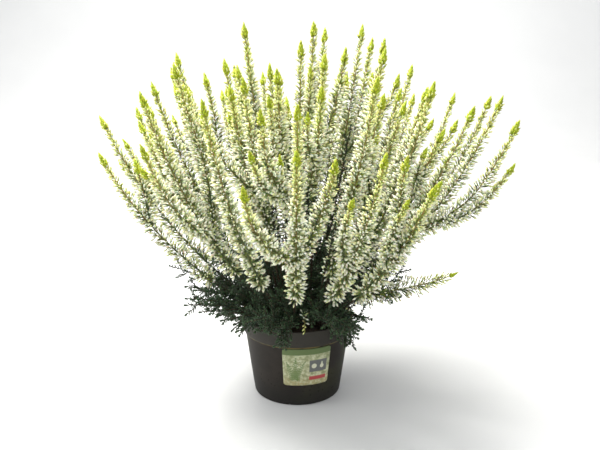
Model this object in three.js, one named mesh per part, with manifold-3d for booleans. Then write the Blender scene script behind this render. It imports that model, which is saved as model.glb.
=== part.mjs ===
// A white heather in a round nursery pot, in millimetres, +Z up.
//
// The origin is the centre of the pot's underside, so the pot stands on z = 0. The front, where the
// sticker is, faces -Y. Five rooted cuttings stand in holes in the soil. From each one's woody crown
// a handful of leafy stems fans out, and each stem ends in a flower spike: a slim core covered in
// florets all round, with a tuft of young leaves at its tip. Some spikes fork.
import * as THREE from "three";
import { mergeVertices } from "three/addons/utils/BufferGeometryUtils.js";
import Module from "manifold-3d";

const wasm = await Module();
wasm.setup();

// The pot: a 12 cm nursery pot with a lip, a foot ring and a raised, drained ring in its floor.
const RIM_RADIUS = 60;
const POT_HEIGHT = 88;
const FOOT_RADIUS = 46.5;
const LIP_HEIGHT = 18;
const LIP_STEP = 1.8; // how far the lip stands out from the wall below it
const WALL = 1.3;
const FLOOR_THICKNESS = 1.8;
const GROOVE_RISE = 2.5;
const GROOVE_IN = 25;
const GROOVE_OUT = 35.5;
const DRAIN_RADIUS = 3.6;
const DRAIN_COUNT = 8;
const POT_SIDES = 28;

// The sticker on the pot's wall.
const STICKER_WIDTH = 50;
const STICKER_HEIGHT = 43;
const STICKER_TOP = 68;
const STICKER_TURN = 0.19; // radians, from the front towards +X
const STICKER_THICKNESS = 0.6;

// The soil and the woody crowns that stand in it.
const SOIL_TOP = 78;
const CROWN_COUNT = 5;
const CROWN_CIRCLE = 20;
const CROWN_RADIUS = 6.5;
const CROWN_FOOT = 56;
const CROWN_TOP = 84;
const STEM_SPREAD = 3; // how far from a crown's middle its stems leave it

// The bush: stalks spread from the crowns to a shallow dome. Each follows a cubic curve, whose three
// points after the crown are given as radius and height for an outermost stalk, and as height for
// one in the middle.
const STALK_COUNT = 88;
const OUTER_WAY = [[77, 108], [184, 180], [226, 308]];
const MIDDLE_WAY = [128, 294, 396];
const BUNCHING = 0.07; // radians that a slow wave moves the stalks sideways
const SCATTER = 0.08; // radians of random sideways spread
const REACH_SCATTER = 0.05; // random spread of the tips' radius, as a share
const FLOWER_START = 126; // height where the outermost spikes start to flower
const FLOWER_START_RISE = 66; // how much higher the middle ones start
const FLOWER_START_SCATTER = 10;
const MAIN_SHORTER = 0.16; // how much of its curve the shortest main spike leaves out at its tip
const SIDE_SHORTER = 0.2;
const FORK_DELAY = [0.1, 0.28]; // where side spikes fork off, along the curve past the first flowers
const FORK_SWING = 0.26; // along the curve, what a side spike takes to reach its own place
const SPIKE_RADIUS = 9; // from a spike's axis out to its florets' tips, low down
const SPIKE_TAPER = 0.8; // the same near the tuft, as a share of that
const CORE_RADIUS = 2.3;
const STEM_RADIUS = 1.4;
const LEAF_REACH = 4.6; // from a stem's axis out to its leaves' tips
const SWELL_LENGTH = 22; // a spike's narrower start
const TAPER_LENGTH = 110; // what it narrows over, below the tuft
const FLORET_LIFT = 4; // how far the florets' tips lean on along the spike
const TUFT_LENGTH = 17; // the young leaves at a spike's tip
const TUFT_RADIUS = 4;
const FLORET_STEP = 7.5; // along a spike, from one floret to the next
const LEAF_STEP = 11; // along a stem, from one leaf to the next
const SHOOT_LEAF_STEP = 9;
const SECTOR_MARGIN = 0.07; // radians, how far shoots keep from the next crown's part

// Short leafy shoots below the flowers: how far round, out and up they end, from least to most.
const SHOOTS = {
  inner: { turn: 0.3, radius: [6, 26], height: [126, 140] },
  middle: { turn: 0.24, radius: [66, 76], height: [120, 129] },
  outer: { turn: 0.17, radius: [98, 118], height: [106, 118] },
  hanging: { turn: 0.16, radius: [70, 74], height: [66, 82] },
};
const SHOOT_FOOT = 103; // height where they leave their stems

// Three stalks leave the dome: one spreads low on the right, and two small ones hang over the rim.
const LOW_SPIKE = { angle: -0.18, way: [[66, 122], [116, 112], [168, 142]], from: 0.42, width: 0.85 };
const HANGING_SPRIGS = [
  { angle: -1.46, way: [[46, 108], [64, 120], [68, 91]], from: 0.56, width: 0.42 },
  { angle: -0.6, way: [[46, 106], [65, 116], [69, 90]], from: 0.56, width: 0.42 },
];

const TWIST = 0.12; // radians that florets and leaves turn past an even spacing
const GAP = 0.3; // between pieces that touch
const SLIVER = 0.02; // edges shorter than this are closed up when solids are joined
const GOLDEN_ANGLE = Math.PI * (3 - Math.sqrt(5));
const TURN = 2 * Math.PI;
const SECTOR = TURN / CROWN_COUNT;

const { lerp, clamp, smoothstep } = THREE.MathUtils;

// The same number from 0 to 1 each time, for the n-th thing and its k-th property.
function draw(n, k) {
  const x = Math.sin(n * 12.9898 + k * 78.233) * 43758.5453;
  return x - Math.floor(x);
}

// A point from its distance to the pot's axis, its direction from +X and its height.
function polar(radius, angle, z) {
  return new THREE.Vector3(radius * Math.cos(angle), radius * Math.sin(angle), z);
}

// A closed geometry as a solid that can be joined and cut.
function solid(geometry) {
  const bare = geometry.index ? geometry.toNonIndexed() : geometry.clone();
  for (const name of ["normal", "uv"]) {
    bare.deleteAttribute(name);
  }
  const merged = mergeVertices(bare, 1e-4);
  const mesh = new wasm.Mesh({
    numProp: 3,
    vertProperties: merged.attributes.position.array,
    triVerts: new Uint32Array(merged.index.array),
    tolerance: SLIVER,
  });
  return new wasm.Manifold(mesh);
}

// A solid as a geometry for a mesh.
function geometryOf(made) {
  const mesh = made.getMesh();
  const geometry = new THREE.BufferGeometry();
  geometry.setAttribute("position", new THREE.BufferAttribute(mesh.vertProperties, 3));
  geometry.setIndex(new THREE.BufferAttribute(mesh.triVerts, 1));
  geometry.computeVertexNormals();
  return geometry;
}

// Solids joined to one body. A pocket that joining seals is filled, and a loose scrap is dropped.
function joined(pieces) {
  const bodies = wasm.Manifold.union(pieces).decompose();
  return bodies.reduce((best, body) => (body.volume() > best.volume() ? body : best));
}

// A geometry from a flat list of points and a list of triangles.
function shell(points, triangles) {
  const geometry = new THREE.BufferGeometry();
  const flat = points.flatMap((p) => [p.x, p.y, p.z]);
  geometry.setAttribute("position", new THREE.Float32BufferAttribute(flat, 3));
  geometry.setIndex(triangles.flat());
  return geometry;
}

// A profile of [radius, height] pairs turned round the Z axis.
function turned(profile, sides) {
  const points = profile.map(([radius, height]) => new THREE.Vector2(radius, height));
  return new THREE.LatheGeometry(points, sides).rotateX(Math.PI / 2);
}

// The pot

const LIP_FOOT = POT_HEIGHT - LIP_HEIGHT;
const WALL_TOP_RADIUS = RIM_RADIUS - LIP_STEP - 2.2;

// The outer radius of the wall at a height below the lip.
function wallRadius(z) {
  return lerp(FOOT_RADIUS, WALL_TOP_RADIUS, z / LIP_FOOT);
}

function pot() {
  const outside = [
    [0, 0],
    [GROOVE_IN - 2, 0],
    [GROOVE_IN, GROOVE_RISE],
    [GROOVE_OUT, GROOVE_RISE],
    [GROOVE_OUT + 2, 0],
    [FOOT_RADIUS - 1.2, 0],
    [wallRadius(1.5), 1.5],
    [wallRadius(LIP_FOOT), LIP_FOOT],
    [WALL_TOP_RADIUS + LIP_STEP, LIP_FOOT + 0.6],
    [RIM_RADIUS, POT_HEIGHT - 1],
    [RIM_RADIUS - 0.7, POT_HEIGHT],
    [RIM_RADIUS - WALL - 0.5, POT_HEIGHT],
  ];
  const inside = [
    [WALL_TOP_RADIUS + LIP_STEP - WALL, LIP_FOOT + 1.6],
    [wallRadius(LIP_FOOT) - WALL, LIP_FOOT - 0.4],
    [wallRadius(FLOOR_THICKNESS) - WALL - 0.4, FLOOR_THICKNESS],
    [GROOVE_OUT + 3, FLOOR_THICKNESS],
    [GROOVE_OUT + 1, GROOVE_RISE + FLOOR_THICKNESS],
    [GROOVE_IN - 1, GROOVE_RISE + FLOOR_THICKNESS],
    [GROOVE_IN - 3, FLOOR_THICKNESS],
    [0, FLOOR_THICKNESS],
  ];
  let body = solid(turned([...outside, ...inside], POT_SIDES));
  for (let i = 0; i < DRAIN_COUNT; i++) {
    const angle = (i * TURN) / DRAIN_COUNT;
    const place = polar((GROOVE_IN + GROOVE_OUT) / 2, angle, GROOVE_RISE);
    const drill = new THREE.CylinderGeometry(DRAIN_RADIUS, DRAIN_RADIUS, 8, 8);
    drill.rotateX(Math.PI / 2).translate(place.x, place.y, place.z);
    body = body.subtract(solid(drill));
  }
  return geometryOf(body);
}

// The sticker: a thin patch of the wall's cone, with its corners square.
function sticker() {
  const columns = 8;
  const front = -Math.PI / 2;
  const bottom = STICKER_TOP - STICKER_HEIGHT;
  const spread = STICKER_WIDTH / wallRadius((STICKER_TOP + bottom) / 2);
  const points = [];
  for (let i = 0; i <= columns; i++) {
    const angle = front + STICKER_TURN + spread * (i / columns - 0.5);
    for (const z of [bottom, STICKER_TOP]) {
      const inner = wallRadius(z) + GAP;
      points.push(polar(inner, angle, z), polar(inner + STICKER_THICKNESS, angle, z));
    }
  }
  const triangles = [];
  const quad = (a, b, c, d) => triangles.push([a, b, c], [a, c, d]);
  for (let i = 0; i < columns; i++) {
    const here = 4 * i;
    const next = here + 4;
    quad(here + 1, next + 1, next + 3, here + 3);
    quad(here, here + 2, next + 2, next);
    quad(here, next, next + 1, here + 1);
    quad(here + 2, here + 3, next + 3, next + 2);
  }
  quad(0, 1, 3, 2);
  const last = 4 * columns;
  quad(last, last + 2, last + 3, last + 1);
  return shell(points, triangles);
}

// The soil

// The soil's surface: low lumps, with a slight mound in the middle.
function soilHeight(x, y) {
  const lumps = Math.sin(x * 0.31 + 1) * Math.cos(y * 0.27) + 0.6 * Math.sin(x * 0.11 - y * 0.19);
  return SOIL_TOP + 0.9 * lumps - 0.0006 * (x * x + y * y);
}

function soil() {
  const bed = GROOVE_RISE + FLOOR_THICKNESS + GAP;
  const lipInside = WALL_TOP_RADIUS + LIP_STEP - WALL - GAP;
  const side = [
    [0, bed],
    [wallRadius(bed) - WALL - 2 * GAP, bed],
    [wallRadius(LIP_FOOT) - WALL - 2 * GAP, LIP_FOOT - 0.6],
    [lipInside - 0.2, LIP_FOOT + 2],
    [lipInside, SOIL_TOP - 2],
  ];
  const surface = [46, 30, 13, 0].map((radius) => [radius, SOIL_TOP]);
  const geometry = turned([...side, ...surface], POT_SIDES);
  const position = geometry.attributes.position;
  for (let i = 0; i < position.count; i++) {
    if (position.getZ(i) >= SOIL_TOP - 0.01) {
      position.setZ(i, soilHeight(position.getX(i), position.getY(i)));
    }
  }
  let body = solid(geometry);
  for (let crown = 0; crown < CROWN_COUNT; crown++) {
    const height = SOIL_TOP + 10 - CROWN_FOOT;
    const drill = new THREE.CylinderGeometry(CROWN_RADIUS + GAP, CROWN_RADIUS + GAP, height, 10);
    const place = crownPlace(crown);
    drill.rotateX(Math.PI / 2).translate(place.x, place.y, CROWN_FOOT - GAP + height / 2);
    body = body.subtract(solid(drill));
  }
  return geometryOf(body);
}

// Where the crowns stand, and the stump of each

function crownPlace(crown) {
  return polar(CROWN_CIRCLE, (crown + 0.5) * SECTOR, 0);
}

function stump(crown) {
  const height = CROWN_TOP - CROWN_FOOT;
  const body = new THREE.CylinderGeometry(CROWN_RADIUS - 2.5, CROWN_RADIUS, height, 8);
  const place = crownPlace(crown);
  body.rotateX(Math.PI / 2).translate(place.x, place.y, CROWN_FOOT + height / 2);
  return solid(body);
}

// Paths. Every stem and spike follows one curve, from its crown to its tip on the dome.

class Stalk {
  constructor(index, angle, way) {
    this.index = index;
    this.angle = THREE.MathUtils.euclideanModulo(angle, TURN);
    this.width = 1;
    this.crown = Math.floor(this.angle / SECTOR);
    this.sideways = new THREE.Vector3(-Math.sin(angle), Math.cos(angle), 0);
    const places = way.map(([radius, height]) => polar(radius, angle, height));
    const start = crownPlace(this.crown).add(polar(STEM_SPREAD, angle, CROWN_TOP - 2));
    this.curve = new THREE.CubicBezierCurve3(start, ...places);
  }

  at(u) {
    return this.curve.getPoint(u);
  }

  // How far along the curve it reaches a height.
  where(z) {
    let low = 0;
    let high = 1;
    for (let step = 0; step < 30; step++) {
      const middle = (low + high) / 2;
      if (this.at(middle).z < z) low = middle;
      else high = middle;
    }
    return low;
  }

  length() {
    let total = 0;
    for (let i = 0; i < 20; i++) {
      const here = this.at(lerp(this.from, this.to, i / 20));
      total += here.distanceTo(this.at(lerp(this.from, this.to, (i + 1) / 20)));
    }
    return total;
  }
}

// A stalk of the dome. Golden-angle places fill it evenly, and a slow wave bunches them a little.
function domeStalk(index) {
  const spread = Math.sqrt((index + 0.5) / STALK_COUNT);
  const turn = index * GOLDEN_ANGLE;
  const bunching = BUNCHING * Math.sin(3 * turn + 7 * spread);
  const way = OUTER_WAY.map(([radius, height], i) => [
    radius * spread,
    lerp(MIDDLE_WAY[i], height, spread ** 2),
  ]);
  way[2][0] *= 1 + REACH_SCATTER * (draw(index, 2) - 0.5);
  const stalk = new Stalk(index, turn + bunching + SCATTER * (draw(index, 1) - 0.5), way);
  return Object.assign(stalk, { spread });
}

// Every second stalk is a side spike, which forks off the nearest main one.
const dome = Array.from({ length: STALK_COUNT }, (_, index) => domeStalk(index));
const mains = dome.filter((stalk) => stalk.index % 2 === 0);
const sides = dome.filter((stalk) => stalk.index % 2 === 1);

// Where a main spike starts to flower and where it ends, along its curve.
for (const stalk of mains) {
  const rise = FLOWER_START_RISE * (1 - stalk.spread);
  stalk.from = stalk.where(FLOWER_START + rise + FLOWER_START_SCATTER * draw(stalk.index, 3));
  stalk.to = 1 - MAIN_SHORTER * draw(stalk.index, 4) ** 1.5;
}

// A side spike leaves its parent inside the flowers and swings over to its own curve.
for (const stalk of sides) {
  const near = (other) => other.at(1).distanceTo(stalk.at(1));
  const family = mains.filter((other) => other.crown === stalk.crown);
  stalk.parent = family.reduce((best, other) => (near(other) < near(best) ? other : best));
  stalk.from = stalk.parent.from + lerp(...FORK_DELAY, draw(stalk.index, 3));
  stalk.to = 0.98 - SIDE_SHORTER * draw(stalk.index, 4);
  const own = stalk.curve;
  const parent = stalk.parent.curve;
  stalk.at = (u) => {
    const still = 1 - clamp((u - stalk.from) / FORK_SWING, 0, 1);
    return parent.getPoint(u).lerp(own.getPoint(u), 1 - still ** 2);
  };
}

function looseStalk({ angle, way, from, width }, number) {
  const stalk = new Stalk(STALK_COUNT + number, angle, way);
  return Object.assign(stalk, { from, to: 1, width, spread: 0 });
}

const [lowSpike, ...sprigs] = [LOW_SPIKE, ...HANGING_SPRIGS].map(looseStalk);

// A spiny tube along a path: its points wind round the axis, three to a turn, and every second one
// stands out as the tip of a floret or leaf, while those between lie on the core. Each tip is then a
// four-sided point rooted in the core, and together they cover it.
function spiny({ at, from, to, points, sideways, reach, core, lift, perTurn = 3, point = 0, phase = 0 }) {
  const step = TURN / perTurn + TWIST;
  const made = [];
  const tiny = (to - from) * 0.01;
  for (let i = 0; i < points; i++) {
    const share = i / (points - 1);
    const u = lerp(from, to, share);
    const along = at(u + tiny).sub(at(u - tiny)).normalize();
    const across = sideways.clone().addScaledVector(along, -sideways.dot(along)).normalize();
    const third = new THREE.Vector3().crossVectors(along, across);
    const isTip = i % 2 === 0;
    const radius = isTip ? reach(share) : core(share);
    const angle = phase + i * step;
    const place = at(u)
      .addScaledVector(across, radius * Math.cos(angle))
      .addScaledVector(third, radius * Math.sin(angle));
    made.push(isTip ? place.addScaledVector(along, lift(share)) : place);
  }
  const foot = made.push(at(from)) - 1;
  const onward = at(to).sub(at(to - tiny)).normalize();
  const tip = made.push(at(to).addScaledVector(onward, point)) - 1;
  const triangles = [];
  for (let i = 0; i + perTurn + 1 < points; i++) {
    const [a, b, c, d] = [i, i + 1, i + 1 + perTurn, i + perTurn];
    if (i % 2 === 0) triangles.push([a, b, d], [b, c, d]);
    else triangles.push([a, b, c], [a, c, d]);
  }
  const last = points - 1;
  for (let i = 0; i < perTurn; i++) {
    triangles.push([foot, i + 1, i]);
    triangles.push([tip, last - perTurn + i, last - perTurn + i + 1]);
  }
  triangles.push([foot, 0, perTurn], [tip, last, last - perTurn]);
  return solid(shell(made, triangles));
}

// One flower spike. It swells over its first stretch, and its last stretch is the tuft.
function spike(stalk) {
  const length = stalk.length();
  const reach = (share) => {
    const rest = (1 - share) * length - TUFT_LENGTH;
    if (rest < 0) return TUFT_RADIUS * clamp((1 + rest / TUFT_LENGTH) * 1.6, 0.12, 1);
    const taper = lerp(SPIKE_TAPER, 1, smoothstep(rest, 0, TAPER_LENGTH));
    const swell = lerp(0.5, 1, smoothstep(share * length, 0, SWELL_LENGTH));
    return SPIKE_RADIUS * stalk.width * taper * swell;
  };
  const core = (share) => {
    const rest = (1 - share) * length - TUFT_LENGTH;
    if (rest < 0) return lerp(0.5, CORE_RADIUS, 1 + rest / TUFT_LENGTH);
    return lerp(STEM_RADIUS, CORE_RADIUS, smoothstep(share * length, 0, SWELL_LENGTH));
  };
  return spiny({
    at: stalk.at.bind(stalk),
    from: stalk.from,
    to: stalk.to,
    points: 2 * Math.round(length / (FLORET_STEP * Math.sqrt(stalk.width))),
    sideways: stalk.sideways,
    reach,
    core,
    lift: (share) => (share < 0.02 ? 0 : FLORET_LIFT * stalk.width),
    perTurn: 5,
    point: 0.6,
    phase: draw(stalk.index, 5) * TURN,
  });
}

// The leafy stems of one crown

// The stem below a spike. It ends face to face with the spike's foot.
function stem(stalk) {
  const length = stalk.at(stalk.from).distanceTo(stalk.at(0));
  return spiny({
    at: stalk.at.bind(stalk),
    from: 0,
    to: stalk.from * (1 - GAP / length),
    points: 2 * Math.round(length / LEAF_STEP) + 4,
    sideways: stalk.sideways,
    reach: (share) => lerp(STEM_RADIUS, LEAF_REACH, smoothstep(share, 0.4, 0.6) - smoothstep(share, 0.8, 1)),
    core: () => STEM_RADIUS,
    lift: (share) => (share > 0.9 ? 0 : 1.5),
    phase: draw(stalk.index, 8) * TURN,
  });
}

// The kind of shoot on a stem, by how far out the stem stands: the inner ones fill the space between
// the stems, and the outer ones reach over the rim or hang down beside it.
function shootKind(host, number) {
  if (host.spread < 0.5) return "inner";
  if (host.spread < 0.8) return "middle";
  return number % 3 === 0 ? "hanging" : "outer";
}

function shoot(host, number) {
  const kind = shootKind(host, number);
  const end = SHOOTS[kind];
  const side = number % 2 ? 1 : -1;
  const radius = lerp(...end.radius, draw(host.index, 6));
  const height = lerp(...end.height, draw(host.index, 7));
  const start = host.at(host.where(SHOOT_FOOT));
  const out = Math.hypot(start.x, start.y);
  const sector = host.crown * SECTOR;
  const angle = clamp(host.angle + side * end.turn, sector + SECTOR_MARGIN, sector + SECTOR - SECTOR_MARGIN);
  const shoulder = kind === "hanging" ? SHOOT_FOOT + 4 : lerp(start.z, height, 0.6);
  const curve = new THREE.CubicBezierCurve3(
    start,
    polar(lerp(out, radius, 0.35), (host.angle + angle) / 2, start.z + 5),
    polar(kind === "hanging" ? radius + 1 : lerp(out, radius, 0.7), angle, shoulder),
    polar(radius, angle, height),
  );
  return spiny({
    at: (u) => curve.getPoint(u),
    from: 0,
    to: 1,
    points: 2 * Math.round(curve.getLength() / SHOOT_LEAF_STEP) + 4,
    sideways: new THREE.Vector3(-Math.sin(angle), Math.cos(angle), 0),
    reach: (share) => LEAF_REACH * lerp(1, 0.35, smoothstep(share, 0.75, 1)),
    core: () => STEM_RADIUS,
    lift: () => 2,
    point: 1,
  });
}

function leafyStems(crown) {
  const own = [...mains, lowSpike, ...sprigs].filter((stalk) => stalk.crown === crown);
  const hosts = own.filter((stalk) => stalk.spread > 0);
  return geometryOf(joined([stump(crown), ...own.map(stem), ...hosts.map(shoot)]));
}

// Assembly

const material = (color, roughness) => new THREE.MeshStandardMaterial({ color, roughness, metalness: 0 });
const OLIVE_PLASTIC = material(0x4a4538, 0.6);
const PEAT = material(0x2b211a, 1);
const PAPER = material(0xd9d8b4, 0.7);
const LEAF_GREEN = material(0x2f4a2a, 0.8);
const WHITE_FLOWER = material(0xe9edd2, 0.7);

const heather = new THREE.Group();

function add(name, geometry, finish) {
  const mesh = new THREE.Mesh(geometry, finish);
  mesh.name = name;
  heather.add(mesh);
}

add("pot", pot(), OLIVE_PLASTIC);
add("sticker", sticker(), PAPER);
add("soil", soil(), PEAT);
for (let crown = 0; crown < CROWN_COUNT; crown++) {
  add(`leafy_stems_${crown + 1}`, leafyStems(crown), LEAF_GREEN);
}
mains.forEach((stalk, number) => {
  const forks = sides.filter((side) => side.parent === stalk);
  const made = joined([stalk, ...forks].map(spike));
  add(`flower_spike_${String(number + 1).padStart(2, "0")}`, geometryOf(made), WHITE_FLOWER);
});
add("low_flower_spike", geometryOf(spike(lowSpike)), WHITE_FLOWER);
sprigs.forEach((sprig, number) => {
  add(`hanging_flower_sprig_${number + 1}`, geometryOf(spike(sprig)), WHITE_FLOWER);
});

export default heather;
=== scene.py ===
# %% [markdown]
# A white heather in a nursery pot, dressed for the camera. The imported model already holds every
# stem and spike as a plain faceted solid. This lesson swaps them for fine ones: closed white buds,
# tufts of young leaves, dark needle foliage, a smooth pot, crumbly peat and a printed sticker.
# Lengths are worked out in millimetres, as a gardener would measure them, and turned into metres
# only when a mesh is made.

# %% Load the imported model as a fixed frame
import math

import bpy
import numpy as np
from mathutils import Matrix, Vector


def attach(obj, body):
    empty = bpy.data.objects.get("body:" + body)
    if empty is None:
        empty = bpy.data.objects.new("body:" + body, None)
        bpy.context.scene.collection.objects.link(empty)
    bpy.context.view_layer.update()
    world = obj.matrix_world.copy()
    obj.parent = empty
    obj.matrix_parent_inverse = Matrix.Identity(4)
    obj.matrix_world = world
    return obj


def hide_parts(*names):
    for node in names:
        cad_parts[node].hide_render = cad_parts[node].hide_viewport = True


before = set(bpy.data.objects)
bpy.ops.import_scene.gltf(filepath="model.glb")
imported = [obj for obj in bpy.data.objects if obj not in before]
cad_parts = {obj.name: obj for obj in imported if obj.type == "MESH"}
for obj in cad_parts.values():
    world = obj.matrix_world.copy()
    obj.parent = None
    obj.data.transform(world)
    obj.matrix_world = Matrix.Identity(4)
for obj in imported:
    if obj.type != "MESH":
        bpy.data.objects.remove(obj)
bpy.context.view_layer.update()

print("CAD nodes:", len(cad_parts))

# %% [markdown]
# Every repeated thing on this plant, a bud or a needle, is one small closed shape that is placed
# thousands of times. Modifiers or instances could do that, but plain arrays are quicker, and they
# leave real meshes behind. So the helpers below work on whole arrays of points.

# %% Small helpers for numbers
MM = 0.001
TURN = 2 * math.pi
UP = np.array([0.0, 0.0, 1.0])
GOLDEN_ANGLE = math.pi * (3 - math.sqrt(5))


def lerp(a, b, share):
    """The value a share of the way from a to b."""
    return a + (b - a) * share


def smoothstep(x, low, high):
    """0 below low, 1 above high, and the soft curve 3t^2 - 2t^3 between them."""
    t = np.clip((x - low) / (high - low), 0, 1)
    return t * t * (3 - 2 * t)


def draw(n, k):
    """The same number from 0 to 1 each time, for the n-th thing and its k-th property."""
    x = np.sin(np.asarray(n) * 12.9898 + k * 78.233) * 43758.5453
    return x - np.floor(x)


def unit(vectors):
    """Each vector divided by its length."""
    return vectors / np.linalg.norm(vectors, axis=-1, keepdims=True)


def polar(radius, angle, z):
    """Points from their distance to the pot's axis, their direction from +X and their height."""
    parts = np.broadcast_arrays(radius * np.cos(angle), radius * np.sin(angle), z)
    return np.stack(parts, axis=-1).astype(float)


print("golden angle in degrees:", round(math.degrees(GOLDEN_ANGLE), 2))


# %% Make a mesh object from arrays
def make_mesh(name, points, triangles, tint=None, uv=None):
    """A mesh from points in millimetres and triangles of point numbers. tint colours each point."""
    mesh = bpy.data.meshes.new(name)
    count = len(triangles)
    mesh.vertices.add(len(points))
    mesh.vertices.foreach_set("co", (points * MM).astype(np.float32).ravel())
    mesh.loops.add(3 * count)
    mesh.loops.foreach_set("vertex_index", triangles.astype(np.int32).ravel())
    mesh.polygons.add(count)
    mesh.polygons.foreach_set("loop_start", np.arange(0, 3 * count, 3, dtype=np.int32))
    mesh.polygons.foreach_set("use_smooth", np.ones(count, dtype=bool))
    if tint is not None:
        colours = np.ones((len(points), 4), np.float32)
        colours[:, :3] = tint
        layer = mesh.color_attributes.new("tint", "FLOAT_COLOR", "POINT")
        layer.data.foreach_set("color", colours.ravel())
    if uv is not None:
        layer = mesh.uv_layers.new(name="print")
        layer.data.foreach_set("uv", uv[triangles.ravel()].astype(np.float32).ravel())
    mesh.update(calc_edges=True)
    thing = bpy.data.objects.new(name, mesh)
    bpy.context.scene.collection.objects.link(thing)
    return thing


def merge_shapes(shapes):
    """Several (points, triangles, tint) shapes as one, with the point numbers moved up."""
    starts = np.cumsum([0] + [len(points) for points, _, _ in shapes[:-1]])
    points = np.concatenate([shape[0] for shape in shapes])
    triangles = np.concatenate([shape[1] + start for shape, start in zip(shapes, starts)])
    tints = np.concatenate([shape[2] for shape in shapes])
    return points, triangles, tints


# %% [markdown]
# A bud and a needle are both spindles: closed at both ends, with a ring or two between. Three sides
# are enough for both, because a bud is only a few dots wide in the picture and smooth shading
# rounds it. The scale leaves in the tufts are wider, so they get four.

# %% One spindle, and how thousands of them are placed
def spindle(sides, stations):
    """Rings of a radius at a share of the length, with a pole at each end. Length runs along z."""
    heights = np.repeat([t for t, _ in stations], sides)
    radii = np.repeat([r for _, r in stations], sides)
    angles = np.tile(np.arange(sides) * TURN / sides, len(stations))
    ring = np.stack([radii * np.cos(angles), radii * np.sin(angles), heights], axis=-1)
    points = np.concatenate([ring, [[0, 0, 0], [0, 0, 1]]])
    here = np.arange(sides)
    after = (here + 1) % sides
    bottom, top = len(ring), len(ring) + 1
    last = len(ring) - sides
    faces = [np.stack([np.full(sides, bottom), after, here], -1)]
    for low in range(0, last, sides):
        high = low + sides
        faces.append(np.stack([low + here, low + after, high + after], -1))
        faces.append(np.stack([low + here, high + after, high + here], -1))
    faces.append(np.stack([np.full(sides, top), last + here, last + after], -1))
    return points, np.concatenate(faces)


def grow(template, bases, directions, lengths, widths, bend=0.0, uphill=None, stalks=None):
    """Copies of a template: along z it is stretched to each length and laid along each direction,
    across it is scaled to each width, and its tip is bent uphill by a share of its length. stalks
    is the share of each length that is only a stalk: the rings keep to the rest of it."""
    shape, faces = template
    directions = unit(directions)
    guide = np.broadcast_to(UP if uphill is None else uphill, directions.shape)
    side = unit(np.cross(guide, directions) + 1e-9)
    lift = np.cross(directions, side)
    across, over, along = shape[:, 0], shape[:, 1], shape[None, :, 2]
    if stalks is not None:
        along = np.where(along > 0, lerp(stalks[:, None], 1, along), 0)
    points = bases[:, None] + directions[:, None] * (along * lengths[:, None])[..., None]
    points = points + side[:, None] * (across[None, :, None] * widths[:, None, None])
    rise = over[None] * widths[:, None] + bend * along**2 * lengths[:, None]
    points = points + lift[:, None] * rise[..., None]
    numbers = np.arange(len(bases))[:, None, None] * len(shape) + faces[None]
    return points.reshape(-1, 3), numbers.reshape(-1, 3)


BUD = spindle(3, [(0.1, 0.45), (0.6, 1.0)])
NEEDLE = spindle(3, [(0.45, 1.0)])
SCALE_LEAF = spindle(4, [(0.4, 1.0)])
print("triangles in a bud, a needle and a scale leaf:", len(BUD[1]), len(NEEDLE[1]), len(SCALE_LEAF[1]))

# %% [markdown]
# Stems, shoots and spikes all follow curves. A path keeps many points of its curve and how far
# along it each one is, so that anything can be placed by the distance travelled, with a frame of
# three directions to turn it by.

# %% Paths with a frame at every place
class Path:
    """A line through space, sampled finely. sideways fixes how its frame is turned."""

    def __init__(self, points, sideways):
        steps = np.linalg.norm(np.diff(points, axis=0), axis=1)
        self.travel = np.concatenate([[0], np.cumsum(steps)])
        self.length = self.travel[-1]
        self.points = points
        self.along = unit(np.gradient(points, self.travel, axis=0))
        level = sideways - self.along * (self.along @ sideways)[:, None]
        self.across = unit(level)

    def pick(self, values, s):
        """Rows of values, read off between the samples at the distances s."""
        return np.stack([np.interp(s, self.travel, values[:, i]) for i in range(3)], axis=-1)

    def at(self, s):
        """The points at the distances s."""
        return self.pick(self.points, s)

    def frame_at(self, s):
        """The directions across and over the path, and along it."""
        along = unit(self.pick(self.along, s))
        across = unit(self.pick(self.across, s))
        return across, np.cross(along, across), along


def bezier(controls, u):
    """The cubic through four control points: weights (1-u)^3, 3u(1-u)^2, 3u^2(1-u) and u^3."""
    u = np.asarray(u)[..., None]
    start, low, high, end = (controls[..., i, :] for i in range(4))
    still = 1 - u
    return start * still**3 + low * (3 * u * still**2) + high * (3 * u**2 * still) + end * u**3


def curve_path(controls, sideways, steps=50, low=0, high=1):
    """A path along one cubic, from the share low to the share high of it."""
    return Path(bezier(controls, np.linspace(low, high, steps)), sideways)


def tube(path, radii, sides=6):
    """A closed round stem: rings at even distances, of the given radii, with a pole at each end."""
    count = len(radii)
    s = np.linspace(0, path.length, count)
    across, over, _ = path.frame_at(s)
    angles = (np.arange(sides) * TURN / sides)[None, :, None]
    outward = across[:, None] * np.cos(angles) + over[:, None] * np.sin(angles)
    ring = path.at(s)[:, None] + outward * np.asarray(radii)[:, None, None]
    points = np.concatenate([ring.reshape(-1, 3), path.at(s[[0, -1]])])
    _, faces = spindle(sides, [(0, 1)] * count)
    return points, faces


# %% [markdown]
# The stalks follow the same rule as the solids that they replace. Golden-angle places fill a shallow
# dome evenly, a slow wave bunches them, and each stalk is one cubic curve from its crown to its tip.
# Every second stalk is a side spike that forks off the nearest main one.

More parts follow.
